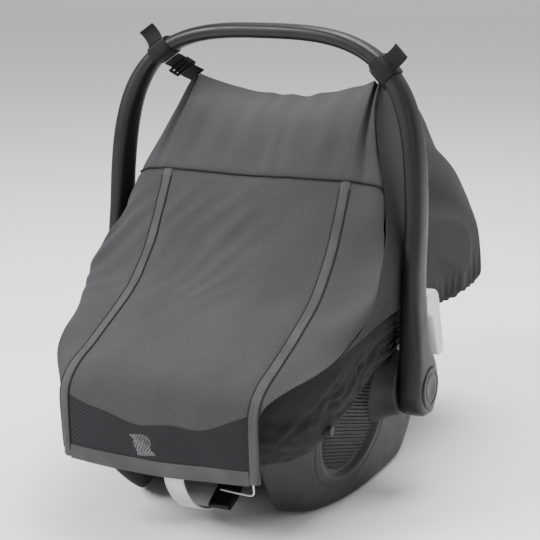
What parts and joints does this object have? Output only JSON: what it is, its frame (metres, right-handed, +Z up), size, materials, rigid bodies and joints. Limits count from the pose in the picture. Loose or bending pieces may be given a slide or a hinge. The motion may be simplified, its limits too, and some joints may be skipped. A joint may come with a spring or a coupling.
{
  "type": "infant car seat",
  "caption": "Rear-facing infant car seat: a rockered moulded shell with a padded harness inside, a hinged carry handle and a strap-on mesh cover",
  "frame": {"origin": "on the floor, under the middle of the bounding box", "axes": "+X to the right side, +Y to the head end, +Z up; the handle stands upright over the seat"},
  "size_m": [0.4416, 0.6526, 0.5605],
  "materials": {
    "shell_plastic": "fine moulded texture, charcoal",
    "handle_plastic": "satin, charcoal",
    "black_plastic": "satin",
    "grey_plastic": "satin",
    "lever_plastic": "satin, light grey",
    "red_plastic": "gloss",
    "steel": "zinc-plated",
    "foam": "expanded foam beads",
    "pad_fabric": "soft knit",
    "skirt_fabric": "plain weave",
    "harness_webbing": "woven webbing",
    "pale_webbing": "woven webbing",
    "mesh_fabric": "open diagonal mesh",
    "top_fabric": "plain weave",
    "hood_fabric": "plain weave with some stretch",
    "binding_fabric": "folded tape"
  },
  "bodies": {
    "seat": {"shell": "shell_plastic", "foam_liner": "foam", "seat_pad": "pad_fabric", "head_support": "pad_fabric", "seat_skirt": "skirt_fabric", "skirt_snaps": "shell_plastic", "shell_screws": "shell_plastic", "side_rib_panel_left": "shell_plastic", "side_rib_panel_right": "shell_plastic", "shoulder_strap_left": "harness_webbing", "shoulder_strap_right": "harness_webbing", "shoulder_pad_left": "pad_fabric", "shoulder_pad_right": "pad_fabric", "crotch_strap": "harness_webbing", "buckle_body": "black_plastic", "buckle_tongue_left": "steel", "buckle_tongue_right": "steel", "adjuster_housing": "black_plastic", "adjuster_webbing": "pale_webbing", "adjuster_pull": "black_plastic", "latch_bar_front": "steel", "latch_bar_rear": "steel", "release_housing": "black_plastic", "pivot_plate_left": "handle_plastic", "pivot_plate_right": "handle_plastic", "pivot_pin_left": "steel", "pivot_pin_right": "steel", "strap_link_left": "harness_webbing", "strap_link_right": "harness_webbing", "strap_buckle_left": "black_plastic", "strap_buckle_right": "black_plastic", "cover_center_mesh": "mesh_fabric", "cover_side_mesh_left": "mesh_fabric", "cover_side_mesh_right": "mesh_fabric", "cover_binding_left": "binding_fabric", "cover_binding_right": "binding_fabric", "cover_hem": "binding_fabric", "cover_top": "top_fabric", "cover_hood": "hood_fabric", "hem_elastic": "harness_webbing"},
    "handle": {"handle_bow": "handle_plastic", "handle_hub_left": "handle_plastic", "handle_hub_right": "handle_plastic", "lock_spring_left": "steel", "lock_spring_right": "steel", "strap_loop_left": "harness_webbing", "strap_loop_right": "harness_webbing", "strap_tab_left": "harness_webbing", "strap_tab_right": "harness_webbing"},
    "lock_button_right": {"lock_button_right": "handle_plastic", "lock_gear_right": "grey_plastic"},
    "lock_button_left": {"lock_button_left": "handle_plastic", "lock_gear_left": "grey_plastic"},
    "lever_left": {"lever_left": "lever_plastic"},
    "lever_right": {"lever_right": "lever_plastic"},
    "buckle_button": {"buckle_button": "red_plastic"},
    "adjuster_button": {"adjuster_button": "grey_plastic"},
    "release_handle": {"release_handle": "grey_plastic"}
  },
  "joints": [
    {"name": "handle_hinge", "type": "hinge", "parent": "seat", "child": "handle", "pos_m": [0, -0.0387, 0.132], "axis": [-1, 0, 0], "range_deg": [0, 30]},
    {"name": "lock_button_right_press", "type": "slide", "parent": "handle", "child": "lock_button_right", "axis": [-1, 0, 0], "range_m": [0, 0.004], "stiffness_N_per_m": 1500},
    {"name": "lever_right_squeeze", "type": "hinge", "parent": "handle", "child": "lever_right", "pos_m": [0.2067, -0.0227, 0.233], "axis": [1, 0, 0], "range_deg": [0, 12], "stiffness_Nm_per_rad": 0.8},
    {"name": "lock_button_left_press", "type": "slide", "parent": "handle", "child": "lock_button_left", "axis": [1, 0, 0], "range_m": [0, 0.004], "stiffness_N_per_m": 1500},
    {"name": "lever_left_squeeze", "type": "hinge", "parent": "handle", "child": "lever_left", "pos_m": [-0.2067, -0.0227, 0.233], "axis": [1, 0, 0], "range_deg": [0, 12], "stiffness_Nm_per_rad": 0.8},
    {"name": "buckle_button_press", "type": "slide", "parent": "seat", "child": "buckle_button", "axis": [0, 0, -1], "range_m": [0, 0.004], "stiffness_N_per_m": 2000},
    {"name": "adjuster_button_press", "type": "slide", "parent": "seat", "child": "adjuster_button", "axis": [0, 0, -1], "range_m": [0, 0.003], "stiffness_N_per_m": 1500},
    {"name": "release_handle_pull", "type": "slide", "parent": "seat", "child": "release_handle", "axis": [0, 1, 0], "range_m": [0, 0.01], "stiffness_N_per_m": 1500}
  ]
}
